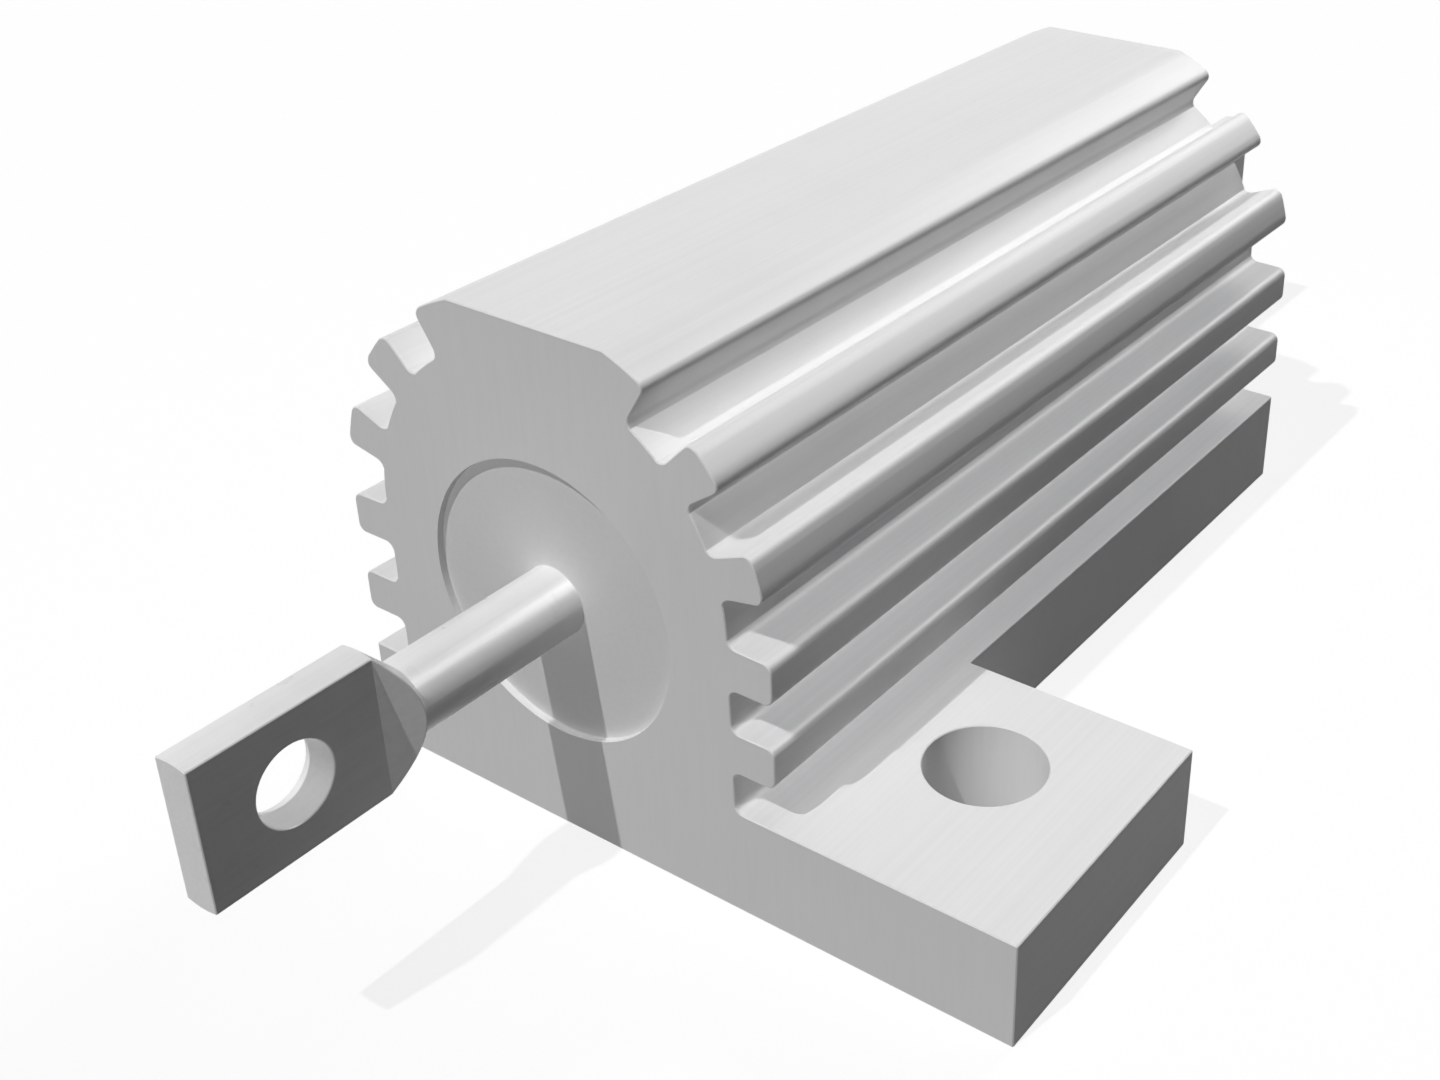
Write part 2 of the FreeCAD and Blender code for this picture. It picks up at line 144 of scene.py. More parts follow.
class RESISTOR_PG_lug(bpy.types.PropertyGroup):
    """Solder lug and the moulding round it"""

    shank_diameter: length("Shank diameter", "Diameter of the lug's round part", 1.95)
    round_diameter: length("Upset diameter", "Round that the blade is swaged from", 3.96)
    blade_thickness: length("Blade thickness", "Thickness of the flat", 1.0)
    blade_length: length("Blade length", "Length of the flat", 4.95)
    flare_length: length("Flare length", "Cone between shank and blade", 0.92)
    facet_angle: angle("Facet angle", "Slope that the swaging die leaves behind the blade", 30.0)
    eye_diameter: length("Eye diameter", "Hole for the wire", 2.1)
    eye_from_tip: length("Eye from tip", "From the tip to the eye's centre", 2.5)
    edge_break: length("Edge break", "Chamfer left by tumbling", 0.025)
    head_overhang: length("Weld head overhang", "How far the head overhangs the shank", 0.525)
    head_thickness: length("Weld head thickness", "Thickness of the welded head", 0.4)
    meniscus: length("Meniscus", "How far the moulding creeps up the bore and the shank", 0.012)


class RESISTOR_PG_finish(bpy.types.PropertyGroup):
    """Colours and surface of each finish"""

    aluminium: colour("Aluminium", "Natural anodised extrusion", 0.74, 0.74, 0.745)
    moulding: colour("Moulding", "Grey silicone moulding", 0.7, 0.7, 0.705)
    tin: colour("Tin plate", "Satin tin plate on the lugs", 0.8, 0.8, 0.8)
    ceramic: colour("Ceramic", "Unglazed ceramic rod", 0.86, 0.83, 0.77)
    alloy: colour("Resistance alloy", "Drawn nickel-chrome ribbon", 0.33, 0.32, 0.3)
    steel: colour("Cap steel", "Plated pressed steel", 0.5, 0.5, 0.51)
    line_spacing: length("Die line spacing", "Spacing of the extrusion's die lines", 0.12)
    line_depth: length("Die line depth", "Depth of the extrusion's die lines", 0.004)
    saw_spacing: length("Saw mark spacing", "Spacing of the saw's and cutter's marks", 0.16)
    saw_depth: length("Saw mark depth", "Depth of the saw's and cutter's marks", 0.003)


class RESISTOR_PG_stage(bpy.types.PropertyGroup):
    """Camera, lamps and floor"""

    azimuth: angle("Azimuth", "Camera's bearing round the part, from the front lug's end", 34.762)
    elevation: angle("Elevation", "Camera's height above the horizon", 28.598)
    roll: angle("Roll", "Camera's turn about its own axis", 0.065)
    aim: FloatVectorProperty(
        name="Aim",
        description="Point that the camera's axis passes through",
        default=(0.206 * MM, 0.509 * MM, 5.0 * MM),
        subtype="TRANSLATION",
        unit="LENGTH",
    )
    distance: length("Distance", "From the camera to the point that it aims at", 58.638)
    lens: FloatProperty(
        name="Lens", description="Focal length on a 36 mm sensor", default=46.483, unit="CAMERA"
    )
    shift: FloatVectorProperty(
        name="Shift",
        description="Camera's shift, in widths of the picture",
        default=(-0.1181, -0.0625),
        size=2,
    )
    key_direction: towards("Key direction", "Towards the key lamp", -0.096, -0.54, 0.836)
    key_angle: angle("Key angle", "Angle that the key lamp spans, which softens its shadows", 0.8)
    key_strength: light_level("Key strength", "Key lamp's irradiance", 1.44)
    rim_direction: towards("Rim direction", "Towards the rim lamp", 0.02, 0.87, 0.5)
    rim_strength: light_level("Rim strength", "Rim lamp's irradiance", 0.9)
    top_strength: light_level("Top strength", "Irradiance of the shadowless lamp above", 1.2)
    front_direction: towards("Front direction", "Towards the front lamp", -0.1, -1.0, 0.1)
    front_strength: light_level("Front strength", "Irradiance of the shadowless front lamp", 0.72)
    soft_angle: angle("Soft angle", "Angle that the rim, top and front lamps span", 20.0)
    gleam_direction: towards("Gleam direction", "Towards the gleam lamp", 0.39, 0.68, 0.61)
    gleam_angle: angle("Gleam angle", "Angle that the gleam lamp spans", 30.0)
    gleam_strength: light_level("Gleam strength", "Irradiance of the lamp seen in gloss alone", 3.7)
    fill_level: light_level("Fill level", "Level of the soft light all round", 0.03)
    floor_bounce: share("Floor bounce", "Grey of the floor as the part is lit by it", 0.05)
    floor_white: share("Floor white", "How much of the floor stays white under a shadow", 0.75)
    floor_size: length("Floor size", "Width of the floor", 4000.0)


class RESISTOR_PG_settings(bpy.types.PropertyGroup):
    """All settings of the part and its stage"""

    extrusion: PointerProperty(name="Extrusion", type=RESISTOR_PG_extrusion)
    lug: PointerProperty(name="Lug", type=RESISTOR_PG_lug)
    finish: PointerProperty(name="Finish", type=RESISTOR_PG_finish)
    stage: PointerProperty(name="Stage", type=RESISTOR_PG_stage)


def round_off(bm, geom, radius, segments, affect):
    """Bevels vertices or edges, scaled up so that the operator's own tolerances don't matter."""
    bmesh.ops.scale(bm, vec=Vector((1, 1, 1)) / MM, verts=bm.verts)
    made = bmesh.ops.bevel(
        bm, geom=geom, offset=radius / MM, offset_type="OFFSET", segments=segments, profile=0.5,
        affect=affect, clamp_overlap=False, material=-1,
    )
    bmesh.ops.scale(bm, vec=Vector((MM, MM, MM)), verts=bm.verts)
    return made["faces"]


def break_edges(bm, width, finish):
    """Chamfers sharp edges, as deburring or tumbling does, but for the bore's rims."""
    bmesh.ops.recalc_face_normals(bm, faces=bm.faces)

    def on_bore(vert):
        return abs(math.hypot(vert.co.x, vert.co.z - BORE_HEIGHT) - BORE_RADIUS) < WELD

    sharp = [
        edge for edge in bm.edges
        if edge.calc_face_angle(0) > BROKEN_ANGLE and not all(on_bore(vert) for vert in edge.verts)
    ]
    for face in round_off(bm, sharp, width, 1, "EDGES"):
        face.material_index = finish
    bmesh.ops.recalc_face_normals(bm, faces=bm.faces)


def each_once(items):
    """The items without repeats, in their own order, which a set would lose."""
    return list(dict.fromkeys(items))


def run_to(bm, vert, place):
    """Draws an edge from a vertex to a place and returns its far end."""
    end = bmesh.ops.extrude_vert_indiv(bm, verts=[vert])["verts"][0]
    end.co = place
    return end


def draw_out(bm, faces, move, lone=False):
    """Extrudes faces by a move and returns the moved ones. A lone sheet's faces stay as an end."""
    made = bmesh.ops.extrude_face_region(bm, geom=faces)["geom"]
    if not lone:
        bmesh.ops.delete(bm, geom=faces, context="FACES")
    verts = [item for item in made if isinstance(item, bmesh.types.BMVert)]
    bmesh.ops.translate(bm, vec=move, verts=verts)
    return [item for item in made if isinstance(item, bmesh.types.BMFace)]


def drill(bm, mouths, centre, axis, radius, sides):
    """Opens a hole between two flat faces: each is refilled round a rim, and the rims bridged."""
    turn = axis.to_track_quat("Z", "Y").to_matrix().to_4x4()
    rims = []
    for mouth in mouths:
        depth = (mouth.calc_center_median() - centre).dot(axis)
        outline = mouth.edges[:]
        bmesh.ops.delete(bm, geom=[mouth], context="FACES_ONLY")
        place = Matrix.Translation(centre + depth * axis)
        ring = bmesh.ops.create_circle(bm, segments=sides, radius=radius, matrix=place @ turn)
        rim = each_once(edge for vert in ring["verts"] for edge in vert.link_edges)
        bmesh.ops.triangle_fill(bm, edges=outline + rim, use_beauty=True, normal=axis)
        rims += rim
    bmesh.ops.bridge_loops(bm, edges=rims)


def object_of(bm, name, materials):
    """Makes the mesh an object of the scene."""
    mesh = bpy.data.meshes.new(name)
    bm.to_mesh(mesh)
    bm.free()
    for material in materials:
        mesh.materials.append(material)
    made = bpy.data.objects.new(name, mesh)
    bpy.context.scene.collection.objects.link(made)
    return made


def add_piece(bm, name, materials, node):
    """Makes the mesh an object that stands for a node of the frame."""
    piece = object_of(bm, name, materials)
    piece.data.shade_smooth()
    piece.data.set_sharp_from_angle(angle=SHARP_ANGLE)
    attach(piece, "root")
    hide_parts(node)
    return piece


def section_corners(sizes):
    """Corners of the section's right half, from the underside up to the flat, with their kinds."""
    outer = sizes.body_width / 2
    floor = outer - sizes.fin_depth
    arch = sizes.flange_thickness + sizes.flank_height
    top = HOUSING_HIGH.z
    half_flat = math.sqrt(outer**2 - (top - arch) ** 2)
    fins_top = arch - outer * math.sin(sizes.flank_droop)
    step = (fins_top - sizes.flange_thickness) / sizes.straight_grooves
    yield outer, 0.0, "plain"
    for number in range(sizes.straight_grooves):
        low = sizes.flange_thickness + number * step
        high = low + step - sizes.straight_fin
        yield outer, low, "tip" if number else "plain"
        yield floor, low, "root"
        yield floor, high, "root"
        yield outer, high, "tip"

    fan = sizes.flank_droop + math.acos(half_flat / outer) - sizes.top_shoulder
    groove = (fan + sizes.radial_fin) / sizes.radial_grooves - sizes.radial_fin
    for number in range(sizes.radial_grooves):
        start = number * (groove + sizes.radial_fin) - sizes.flank_droop
        end = start + groove
        for bearing, kinds in ((start, ("tip", "root")), (end, ("root", "tip"))):
            for kind in kinds:
                radius = outer if kind == "tip" else floor
                yield radius * math.cos(bearing), arch + radius * math.sin(bearing), kind
    yield half_flat, top, "plain"
    yield 0.0, top, "plain"


def arch_chords(bm, sizes, centre):
    """Straight stretches that stand for an arc about the arch's centre: groove floors, fin tips."""
    floor_share, most_slant = 0.9, 0.05
    nearest = floor_share * (sizes.body_width / 2 - sizes.fin_depth)
    for edge in bm.edges:
        start, end = (vert.co for vert in edge.verts)
        outward = (start + end) / 2 - centre
        slant = abs((end - start).normalized().dot(outward.normalized()))
        whole = edge.calc_length() > sizes.tip_radius
        if slant < most_slant and outward.length > nearest and whole:
            yield edge


def half_section(bm, sizes):
    """The section's right half as one face, with half of the bore and all roundings and arcs."""
    front = HOUSING_LOW.y
    bore_steps = 48
    rounding_steps = 5
    arc_cuts = 3
    start = bm.verts.new((0, front, BORE_HEIGHT - BORE_RADIUS))
    vert = run_to(bm, start, (0, front, 0))
    rounded = {"root": [], "tip": []}
    for across, up, kind in section_corners(sizes):
        vert = run_to(bm, vert, (across, front, up))
        if kind in rounded:
            rounded[kind].append(vert)
    vert = run_to(bm, vert, (0, front, BORE_HEIGHT + BORE_RADIUS))
    bmesh.ops.spin(
        bm, geom=[vert], cent=(0, front, BORE_HEIGHT), axis=(0, 1, 0),
        angle=math.pi, steps=bore_steps,
    )
    bmesh.ops.remove_doubles(bm, verts=bm.verts, dist=WELD)
    bmesh.ops.contextual_create(bm, geom=bm.edges)
    round_off(bm, rounded["root"], sizes.root_radius, rounding_steps, "VERTICES")
    round_off(bm, rounded["tip"], sizes.tip_radius, rounding_steps, "VERTICES")

    centre = Vector((0, front, sizes.flange_thickness + sizes.flank_height))
    outer = sizes.body_width / 2
    floor = outer - sizes.fin_depth
    chords = list(arch_chords(bm, sizes, centre))
    made = bmesh.ops.bisect_edges(bm, edges=chords, cuts=arc_cuts)["geom_split"]
    pieces = [item for item in made if isinstance(item, bmesh.types.BMEdge)]
    for vert in each_once(vert for edge in pieces for vert in edge.verts):
        outward = vert.co - centre
        radius = outer if outward.length > (outer + floor) / 2 else floor
        vert.co = centre + outward.normalized() * radius


def add_foot(bm, sizes, side):
    """Draws a foot out of one flank and drills it: the right one in front, the left one behind."""
    hole_sides = 64
    outer = sizes.body_width / 2
    end = HOUSING_LOW.y if side > 0 else HOUSING_HIGH.y
    inner_end = end + side * sizes.foot_length

    def is_root(face):
        middle = face.calc_center_median()
        on_flank = abs(middle.x - side * outer) < WELD and middle.z < sizes.flange_thickness
        return on_flank and (middle.y - inner_end) * side < 0

    root = [face for face in bm.faces if is_root(face)]
    reach = HOUSING_HIGH.x - outer
    draw_out(bm, root, Vector((side * reach, 0, 0)))
    bmesh.ops.recalc_face_normals(bm, faces=bm.faces)
    mouths = [
        face for face in bm.faces
        if abs(face.normal.z) > math.cos(SHARP_ANGLE) and face.calc_center_median().x * side > outer
    ]
    centre = Vector((side * (outer + sizes.hole_from_flank), end + side * sizes.hole_from_end, 0))
    drill(bm, mouths, centre, Vector((0, 0, 1)), sizes.hole_diameter / 2, hole_sides)


def mark_cut_faces(bm, sizes):
    """Gives the cut finish to what was sawn, milled or drilled: ends, flanks and holes."""
    outer = sizes.body_width / 2
    bmesh.ops.recalc_face_normals(bm, faces=bm.faces)
    for face in bm.faces:
        middle = face.calc_center_median()
        across_length = abs(face.normal.y) > math.sin(SHARP_ANGLE)
        in_hole = abs(middle.x) > outer + WELD and WELD < middle.z < sizes.flange_thickness - WELD
        milled_flank = abs(abs(middle.x) - outer) < WELD and middle.z < sizes.flange_thickness
        on_foot_side = abs(middle.x) > HOUSING_HIGH.x - WELD
        if (across_length or in_hole or milled_flank) and not on_foot_side:
            face.material_index = CUT_FINISH


def model_housing(settings):
    """One length of extrusion, sawn off, milled to two feet on a diagonal and drilled."""
    sizes = settings.extrusion
    bm = bmesh.new()
    half_section(bm, sizes)
    bmesh.ops.mirror(bm, geom=bm.verts[:] + bm.edges[:] + bm.faces[:], merge_dist=WELD, axis="X")
    bmesh.ops.recalc_face_normals(bm, faces=bm.faces)
    middle_length = HOUSING_HIGH.y - HOUSING_LOW.y - 2 * sizes.foot_length
    ends = draw_out(bm, bm.faces[:], Vector((0, sizes.foot_length, 0)), lone=True)
    ends = draw_out(bm, ends, Vector((0, middle_length, 0)))
    draw_out(bm, ends, Vector((0, sizes.foot_length, 0)))
    for side in (1, -1):
        add_foot(bm, sizes, side)
    mark_cut_faces(bm, sizes)
    break_edges(bm, sizes.edge_break, CUT_FINISH)
    materials = [extruded_aluminium(settings.finish), cut_aluminium(settings.finish)]
    return add_piece(bm, "finned_housing", materials, "housing")


def model_moulding(settings):
    """The moulding as one turned body: both seals, and the hollow that the element fills."""
    sizes = settings.lug
    steps = 96
    seal = MOULDING_HIGH.y
    shank = sizes.shank_diameter / 2
    core = (CORE_HIGH.z - CORE_LOW.z) / 2
    winding = (RIBBON_HIGH.z - RIBBON_LOW.z) / 2
    head_end = -FRONT_LUG_HIGH.y
    # Radius and place along the bore of each corner, from the bore's mouth in to the winding.
    half = [
        (BORE_RADIUS, seal),
        (BORE_RADIUS - sizes.meniscus, seal - sizes.meniscus),
        (shank + sizes.meniscus, seal - sizes.meniscus),
        (shank, seal),
        (shank, head_end + sizes.head_thickness),
        (shank + sizes.head_overhang, head_end + sizes.head_thickness),
        (shank + sizes.head_overhang, head_end),
        (core, head_end),
        (core, RIBBON_HIGH.y),
        (winding, RIBBON_HIGH.y),
    ]
    outline = half + [(radius, -along) for radius, along in reversed(half)]
    bm = bmesh.new()
    radius, along = outline[0]
    start = vert = bm.verts.new((radius, along, BORE_HEIGHT))
    for radius, along in outline[1:]:
        vert = run_to(bm, vert, (radius, along, BORE_HEIGHT))
    bmesh.ops.contextual_create(bm, geom=[vert, start])
    bmesh.ops.spin(
        bm, geom=bm.verts[:] + bm.edges[:], cent=(0, 0, BORE_HEIGHT), axis=(0, 1, 0),
        angle=math.tau, steps=steps, use_merge=True,
    )
    bmesh.ops.remove_doubles(bm, verts=bm.verts, dist=WELD)
    bmesh.ops.recalc_face_normals(bm, faces=bm.faces)
    return add_piece(bm, "sealing_moulding", [silicone(settings.finish)], "moulding")


def turned_rod(bm, sizes):
    """The lug before swaging: a headed rod, larger at its free end, drawn out in stages."""
    sides = 72
    tip = FRONT_LUG_LOW.y
    head_end = FRONT_LUG_HIGH.y
    shank = sizes.shank_diameter / 2
    head = shank + sizes.head_overhang
    upright = Matrix.Translation((0, tip, BORE_HEIGHT)) @ Matrix.Rotation(-math.pi / 2, 4, "X")
    radius = sizes.round_diameter / 2
    rim = bmesh.ops.create_circle(
        bm, cap_ends=True, segments=sides, radius=radius, matrix=upright
    )
    end = [face for face in bm.faces if set(face.verts) == set(rim["verts"])]
    root = tip + sizes.blade_length
    # Place along the lug, and the radius there.
    stations = (
        (root, radius),
        (root + sizes.flare_length, shank),
        (head_end - sizes.head_thickness, shank),
        (head_end - sizes.head_thickness, head),
        (head_end, head),
    )
    place = tip
    for number, (along, new_radius) in enumerate(stations):
        end = draw_out(bm, end, Vector((0, along - place, 0)), lone=number == 0)
        ratio = new_radius / radius
        bmesh.ops.scale(
            bm, vec=(ratio, 1, ratio), verts=end[0].verts[:],
            space=Matrix.Translation((0, -along, -BORE_HEIGHT)),
        )
        place = along
        radius = new_radius


def swage_side(bm, sizes, side):
    """Presses one side of the round: flat along the blade, and at a slope behind it."""
    root = FRONT_LUG_LOW.y + sizes.blade_length
    half = sizes.blade_thickness / 2
    edge = Vector((side * half, root, BORE_HEIGHT))
    level = Vector((side, 0, 0))
    inclined = Vector((side * math.cos(sizes.facet_angle), -math.sin(sizes.facet_angle), 0))

    def ahead(face):
        return face.calc_center_median().y < root

    for normal, wanted in ((level, True), (inclined, False)):
        chosen = [face for face in bm.faces if ahead(face) == wanted]
        parts = each_once(item for face in chosen for item in (*face.verts, *face.edges, face))
        bmesh.ops.bisect_plane(bm, geom=parts, dist=WELD, plane_co=edge, plane_no=normal)
        waste = [
            face for face in bm.faces
            if ahead(face) == wanted and (face.calc_center_median() - edge).dot(normal) > WELD
            and face.calc_center_median().y < root + sizes.flare_length
        ]
        bmesh.ops.delete(bm, geom=waste, context="FACES")

    rim = [item for item in bm.edges if item.is_boundary]
    corners = each_once(vert for item in rim for vert in item.verts)
    ends = [vert for vert in corners if abs(vert.co.y - root) < WELD]
    bmesh.ops.contextual_create(bm, geom=ends)
    crease = bm.edges.get(ends)
    for wanted in (True, False):
        loop = [
            item for item in rim
            if (sum(vert.co.y for vert in item.verts) / 2 < root) == wanted
        ]
        bmesh.ops.contextual_create(bm, geom=loop + [crease])


def model_lug(settings, name, node, half_turn):
    """Solder lug: turned, swaged on both sides, pierced and tumbled. The rear one faces back."""
    eye_sides = 48
    facing = math.cos(math.radians(1))
    sizes = settings.lug
    bm = bmesh.new()
    turned_rod(bm, sizes)
    for side in (1, -1):
        swage_side(bm, sizes, side)
    bmesh.ops.recalc_face_normals(bm, faces=bm.faces)
    mouths = [
        face for face in bm.faces
        if abs(face.normal.x) > facing and len(face.verts) == 4
        and abs(abs(face.calc_center_median().x) - sizes.blade_thickness / 2) < WELD
    ]
    centre = Vector((0, FRONT_LUG_LOW.y + sizes.eye_from_tip, BORE_HEIGHT))
    drill(bm, mouths, centre, Vector((1, 0, 0)), sizes.eye_diameter / 2, eye_sides)
    break_edges(bm, sizes.edge_break, MAIN_FINISH)
    if half_turn:
        turn = Matrix.Rotation(math.pi, 3, "Z")
        bmesh.ops.rotate(bm, cent=(0, 0, 0), matrix=turn, verts=bm.verts)
    return add_piece(bm, name, [tin_plate(settings.finish)], node)


class NodeTree:
    """The nodes of a material or a world."""

    def __init__(self, owner):
        owner.use_nodes = True
        self.tree = owner.node_tree
        self.nodes = self.tree.nodes

    def link(self, output, target):
        self.tree.links.new(output, target)

    def node(self, kind, **values):
        """A new node with some of its sockets set."""
        node = self.nodes.new(kind)
        self.set_sockets(node, **values)
        return node

    def set_sockets(self, node, **values):
        """Sets a node's own sockets by their names, with underscores for the spaces."""
        for name, value in values.items():
            node.inputs[name.replace("_", " ")].default_value = value

    def combine(self, operation, first, second):
        """Two outputs made one by a Math node's operation."""
        node = self.node("ShaderNodeMath")
        node.operation = operation
        self.link(first, node.inputs[0])
        self.link(second, node.inputs[1])
        return node.outputs[0]


class Surface(NodeTree):
    """A material being made, with patterns in the piece's own coordinates."""

    SOFT_GLOSS = 0.25
    NOISE_LOW, NOISE_HIGH = 0.25, 0.75

    def __init__(self, name):
        self.material = bpy.data.materials.new(name)
        super().__init__(self.material)
        self.shader = self.nodes["Principled BSDF"]
        self.place = self.node("ShaderNodeTexCoord").outputs["Object"]
        self.set(Specular_IOR_Level=self.SOFT_GLOSS)

    def set(self, **values):
        """Sets the shader's own sockets, such as Roughness or Metallic."""
        self.set_sockets(self.shader, **values)

    def pattern(self, size, stretch=(1, 1, 1), turn=(0, 0, 0), detail=2.0, roughness=0.5):
        """Cloudy noise on the piece, of a size in metres, turned and then stretched."""
        scale = [1 / size / ratio for ratio in stretch]
        mapping = self.node("ShaderNodeMapping", Rotation=turn, Scale=scale)
        noise = self.node("ShaderNodeTexNoise", Scale=1.0, Detail=detail, Roughness=roughness)
        self.link(self.place, mapping.inputs["Vector"])
        self.link(mapping.outputs["Vector"], noise.inputs["Vector"])
        return noise.outputs["Fac"]

    def between(self, pattern, low, high):
        """A number that goes from low to high with a pattern."""
        span = self.node(
            "ShaderNodeMapRange",
            From_Min=self.NOISE_LOW, From_Max=self.NOISE_HIGH, To_Min=low, To_Max=high,
        )
        self.link(pattern, span.inputs["Value"])
        return span.outputs["Result"]

    def tint(self, base, *layers):
        """The base colour, made darker and lighter by layers of a pattern, a low and a high."""
        level, *others = [self.between(*layer) for layer in layers]
        for other in others:
            level = self.combine("MULTIPLY", level, other)
        shade = self.node("ShaderNodeVectorMath")
        shade.operation = "SCALE"
        shade.inputs[0].default_value = base
        self.link(level, shade.inputs["Scale"])
        self.link(shade.outputs["Vector"], self.shader.inputs["Base Color"])

    def roughen(self, pattern, low, high):
        """Roughness that goes from low to high with a pattern."""
        self.link(self.between(pattern, low, high), self.shader.inputs["Roughness"])

    def emboss(self, pattern, depth):
        """Relief of a given depth in metres from a pattern."""
        bump = self.node("ShaderNodeBump", Strength=1.0, Distance=depth)
        self.link(pattern, bump.inputs["Height"])
        self.link(bump.outputs["Normal"], self.shader.inputs["Normal"])


def extruded_aluminium(finish):
    """Extruded faces: fine die lines along the length and the soft cloudiness of an anodic film."""
    surface = Surface("extruded_aluminium")
    lines = surface.pattern(finish.line_spacing, stretch=(1, 200, 1), detail=3.0, roughness=0.6)
    cloud = surface.pattern(size=5 * MM)
    surface.tint(finish.aluminium, (lines, 0.97, 1.03), (cloud, 0.985, 1.015))
    surface.roughen(lines, low=0.4, high=0.52)
    surface.emboss(lines, finish.line_depth)
    return surface.material


def cut_aluminium(finish):
    """Sawn and milled faces: fine parallel marks that wander a little."""
    surface = Surface("cut_aluminium")
    marks = surface.pattern(finish.saw_spacing, stretch=(1, 1, 12), turn=(0.35, 0.5, 0))
    cloud = surface.pattern(size=4 * MM)
    surface.tint(finish.aluminium, (marks, 0.985, 1.015), (cloud, 0.985, 1.015))
    surface.roughen(marks, low=0.42, high=0.56)
    surface.emboss(marks, finish.saw_depth)
    return surface.material


def silicone(finish):
    """Cured moulding: even, matt and very finely mottled."""
    surface = Surface("silicone_moulding")
    grain = surface.pattern(size=0.15 * MM, detail=3.0)
    cloud = surface.pattern(size=2.5 * MM)
    surface.tint(finish.moulding, (grain, 0.98, 1.02), (cloud, 0.98, 1.02))
    surface.set(Roughness=0.62)
    surface.emboss(grain, depth=0.002 * MM)
    return surface.material


def tin_plate(finish):
    """Satin tin over drawn and swaged metal, with faint drawing lines along the lug."""
    surface = Surface("tin_plate")
    lines = surface.pattern(size=0.11 * MM, stretch=(1, 40, 1))
    cloud = surface.pattern(size=0.9 * MM, detail=4.0)
    surface.tint(finish.tin, (lines, 0.97, 1.03), (cloud, 0.98, 1.02))
    surface.roughen(cloud, low=0.26, high=0.36)
    surface.set(Specular_IOR_Level=0.3)
    surface.emboss(lines, depth=0.003 * MM)
    return surface.material


def ceramic(finish):
    """Unglazed rod: a dry, slightly speckled body."""
    surface = Surface("ceramic_body")
    grain = surface.pattern(size=0.1 * MM, detail=4.0)
    surface.tint(finish.ceramic, (grain, 0.96, 1.03))
    surface.set(Roughness=0.8)
    surface.emboss(grain, depth=0.004 * MM)
    return surface.material


def drawn_metal(name, base, roughness):
    """Drawn or pressed metal inside the part: bright, with fine lines along the part."""
    surface = Surface(name)
    lines = surface.pattern(size=0.08 * MM, stretch=(1, 15, 1))
    surface.tint(base, (lines, 0.93, 1.05))
    surface.set(Metallic=1.0, Roughness=roughness)
    surface.emboss(lines, depth=0.002 * MM)
    return surface.material


def finish_node(name, material):
    """Gives a hidden piece of the frame its finish."""
    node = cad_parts[name]
    node.data.materials.clear()
    node.data.materials.append(material)


class StageTree(NodeTree):
    """Nodes of the floor's material or the world, with the rays that show the background."""

    def __init__(self, owner):
        super().__init__(owner)
        self.nodes.clear()
        path = self.node("ShaderNodeLightPath")
        camera, glossy, through = (
            path.outputs[name] for name in ("Is Camera Ray", "Is Glossy Ray", "Is Transmission Ray")
        )
        self.seen = self.combine("MAXIMUM", self.combine("MAXIMUM", camera, glossy), through)

    def shader(self, kind, **values):
        """A shader with some of its sockets set."""
        return self.node(kind, **values).outputs[0]

    def mix(self, factor, first, second):
        """A mix of two shaders by a number or an output."""
        node = self.node("ShaderNodeMixShader")
        if isinstance(factor, bpy.types.NodeSocket):
            self.link(factor, node.inputs[0])
        else:
            node.inputs[0].default_value = factor
        self.link(first, node.inputs[1])
        self.link(second, node.inputs[2])
        return node.outputs[0]

    def show(self, kind, unseen, seen):
        """Ends the tree in a shader that is seen, and one that lights the part unseen."""
        self.link(self.mix(self.seen, unseen, seen), self.node(kind).inputs["Surface"])


def white_floor(stage):
    """Floor that shows white with a soft shadow, and lights the part as a grey one would."""
    material = bpy.data.materials.new("pale_floor")
    tree = StageTree(material)
    grey = stage.floor_bounce
    lit = tree.shader("ShaderNodeBsdfDiffuse", Color=WHITE)
    plain = tree.shader("ShaderNodeEmission", Color=WHITE, Strength=1.0)
    bounce = tree.shader("ShaderNodeBsdfDiffuse", Color=(grey, grey, grey, 1))
    tree.show("ShaderNodeOutputMaterial", bounce, tree.mix(stage.floor_white, lit, plain))
    return material


def soft_world(stage):
    """Weak soft light all round, shown as white."""
    world = bpy.data.worlds.new("soft_studio")
    tree = StageTree(world)
    light = tree.shader("ShaderNodeBackground", Color=WHITE, Strength=stage.fill_level)
    shown = tree.shader("ShaderNodeBackground", Color=WHITE, Strength=1.0)
    tree.show("ShaderNodeOutputWorld", light, shown)
    return world


def lay_floor(stage):
    """The floor that the part stands on, as wide as the views need."""
    bm = bmesh.new()
    bmesh.ops.create_grid(bm, x_segments=1, y_segments=1, size=stage.floor_size / 2)
    floor = object_of(bm, "floor", [white_floor(stage)])


def add_lamp(name, direction, spread, strength, shadow=True, diffuse=True, gloss=True):
    """A far lamp in a direction, as wide as the angle that it spans."""
    lamp = bpy.data.lights.new(name, "SUN")
    lamp.energy = strength
    lamp.angle = spread
    lamp.use_shadow = shadow
    holder = bpy.data.objects.new(name, lamp)
    holder.rotation_mode = "QUATERNION"
    holder.rotation_quaternion = Vector(direction).to_track_quat("Z", "Y")
    holder.visible_diffuse = diffuse
    holder.visible_glossy = gloss
    bpy.context.scene.collection.objects.link(holder)


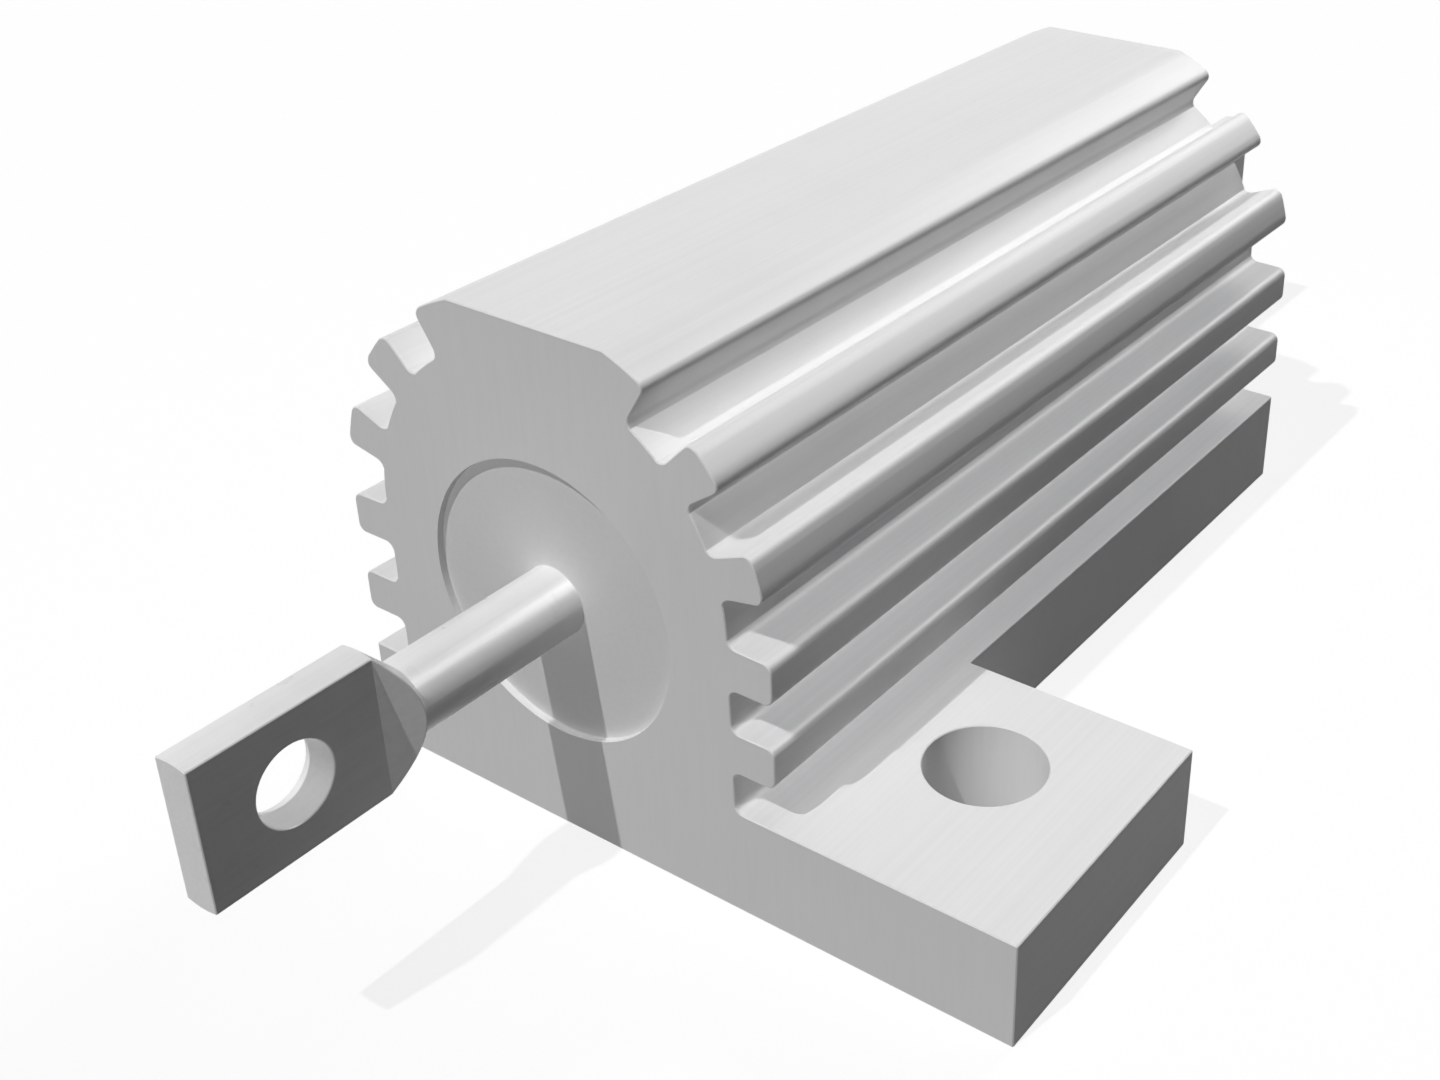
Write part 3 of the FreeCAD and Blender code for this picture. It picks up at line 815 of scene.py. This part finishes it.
def set_lamps(stage):
    """Key and rim lamps, and three without shadows: top, front (no gloss), gleam (gloss alone)."""
    soft = stage.soft_angle
    add_lamp("key_lamp", stage.key_direction, stage.key_angle, stage.key_strength)
    add_lamp("rim_lamp", stage.rim_direction, soft, stage.rim_strength)
    add_lamp("top_lamp", (0, 0, 1), soft, stage.top_strength, shadow=False)
    add_lamp(
        "front_lamp", stage.front_direction, soft, stage.front_strength,
        shadow=False, gloss=False,
    )
    add_lamp(
        "gleam_lamp", stage.gleam_direction, stage.gleam_angle, stage.gleam_strength,
        shadow=False, diffuse=False,
    )


def place_camera(stage):
    """The camera at the photograph's viewpoint."""
    farthest = 10.0
    level = math.cos(stage.elevation)
    across = math.sin(stage.azimuth) * level
    along = -math.cos(stage.azimuth) * level
    back = Vector((across, along, math.sin(stage.elevation)))
    lens = bpy.data.cameras.new("camera")
    lens.lens = stage.lens
    lens.sensor_width = SENSOR_WIDTH
    lens.shift_x, lens.shift_y = stage.shift
    lens.clip_start = MM
    lens.clip_end = farthest
    camera = bpy.data.objects.new("camera", lens)
    camera.location = Vector(stage.aim) + back * stage.distance
    camera.rotation_mode = "QUATERNION"
    roll = Quaternion((0, 0, 1), stage.roll)
    camera.rotation_quaternion = (-back).to_track_quat("-Z", "Y") @ roll
    bpy.context.scene.collection.objects.link(camera)
    bpy.context.scene.camera = camera


class RESISTOR_OT_housing(bpy.types.Operator):
    """Model the finned housing with its two feet"""

    bl_idname = "resistor.housing"
    bl_label = "Finned Housing"

    def execute(self, context):
        model_housing(context.scene.resistor)
        return {"FINISHED"}


class RESISTOR_OT_moulding(bpy.types.Operator):
    """Model the moulding that seals both ends of the bore"""

    bl_idname = "resistor.moulding"
    bl_label = "Moulding"

    def execute(self, context):
        model_moulding(context.scene.resistor)
        return {"FINISHED"}


class RESISTOR_OT_lugs(bpy.types.Operator):
    """Model the two solder lugs"""

    bl_idname = "resistor.lugs"
    bl_label = "Solder Lugs"

    def execute(self, context):
        settings = context.scene.resistor
        model_lug(settings, "front_lug", "front_terminal", half_turn=False)
        model_lug(settings, "rear_lug", "rear_terminal", half_turn=True)
        return {"FINISHED"}


class RESISTOR_OT_element(bpy.types.Operator):
    """Finish the hidden element: ceramic rod, ribbon and end caps"""

    bl_idname = "resistor.element"
    bl_label = "Element Finishes"

    def execute(self, context):
        finish = context.scene.resistor.finish
        finish_node("ceramic_core", ceramic(finish))
        alloy = drawn_metal("resistance_alloy", finish.alloy, roughness=0.35)
        finish_node("resistance_ribbon", alloy)
        steel = drawn_metal("pressed_steel", finish.steel, roughness=0.3)
        finish_node("front_end_cap", steel)
        finish_node("rear_end_cap", steel)
        return {"FINISHED"}


class RESISTOR_OT_stage(bpy.types.Operator):
    """Lay the floor, set the lamps and the soft light, and place the camera"""

    bl_idname = "resistor.stage"
    bl_label = "Floor, Light and Camera"

    def execute(self, context):
        stage = context.scene.resistor.stage
        lay_floor(stage)
        set_lamps(stage)
        place_camera(stage)
        context.scene.world = soft_world(stage)
        context.scene.view_settings.view_transform = "Standard"
        return {"FINISHED"}


class RESISTOR_PT_panel(bpy.types.Panel):
    """Steps that make the part and its stage"""

    bl_idname = "RESISTOR_PT_panel"
    bl_label = "Housed Resistor"
    bl_space_type = "VIEW_3D"
    bl_region_type = "UI"
    bl_category = "Resistor"

    def draw(self, context):
        for step in STEPS:
            self.layout.operator(step.bl_idname)


STEPS = (
    RESISTOR_OT_housing,
    RESISTOR_OT_moulding,
    RESISTOR_OT_lugs,
    RESISTOR_OT_element,
    RESISTOR_OT_stage,
)
CLASSES = (
    RESISTOR_PG_extrusion,
    RESISTOR_PG_lug,
    RESISTOR_PG_finish,
    RESISTOR_PG_stage,
    RESISTOR_PG_settings,
    *STEPS,
    RESISTOR_PT_panel,
)


def register():
    for item in CLASSES:
        bpy.utils.register_class(item)
    bpy.types.Scene.resistor = PointerProperty(name="Resistor", type=RESISTOR_PG_settings)


def unregister():
    del bpy.types.Scene.resistor
    for item in reversed(CLASSES):
        bpy.utils.unregister_class(item)


def main():
    """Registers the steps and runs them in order."""
    register()
    bpy.ops.resistor.housing()
    bpy.ops.resistor.moulding()
    bpy.ops.resistor.lugs()
    bpy.ops.resistor.element()
    bpy.ops.resistor.stage()


if __name__ == "__main__":
    main()
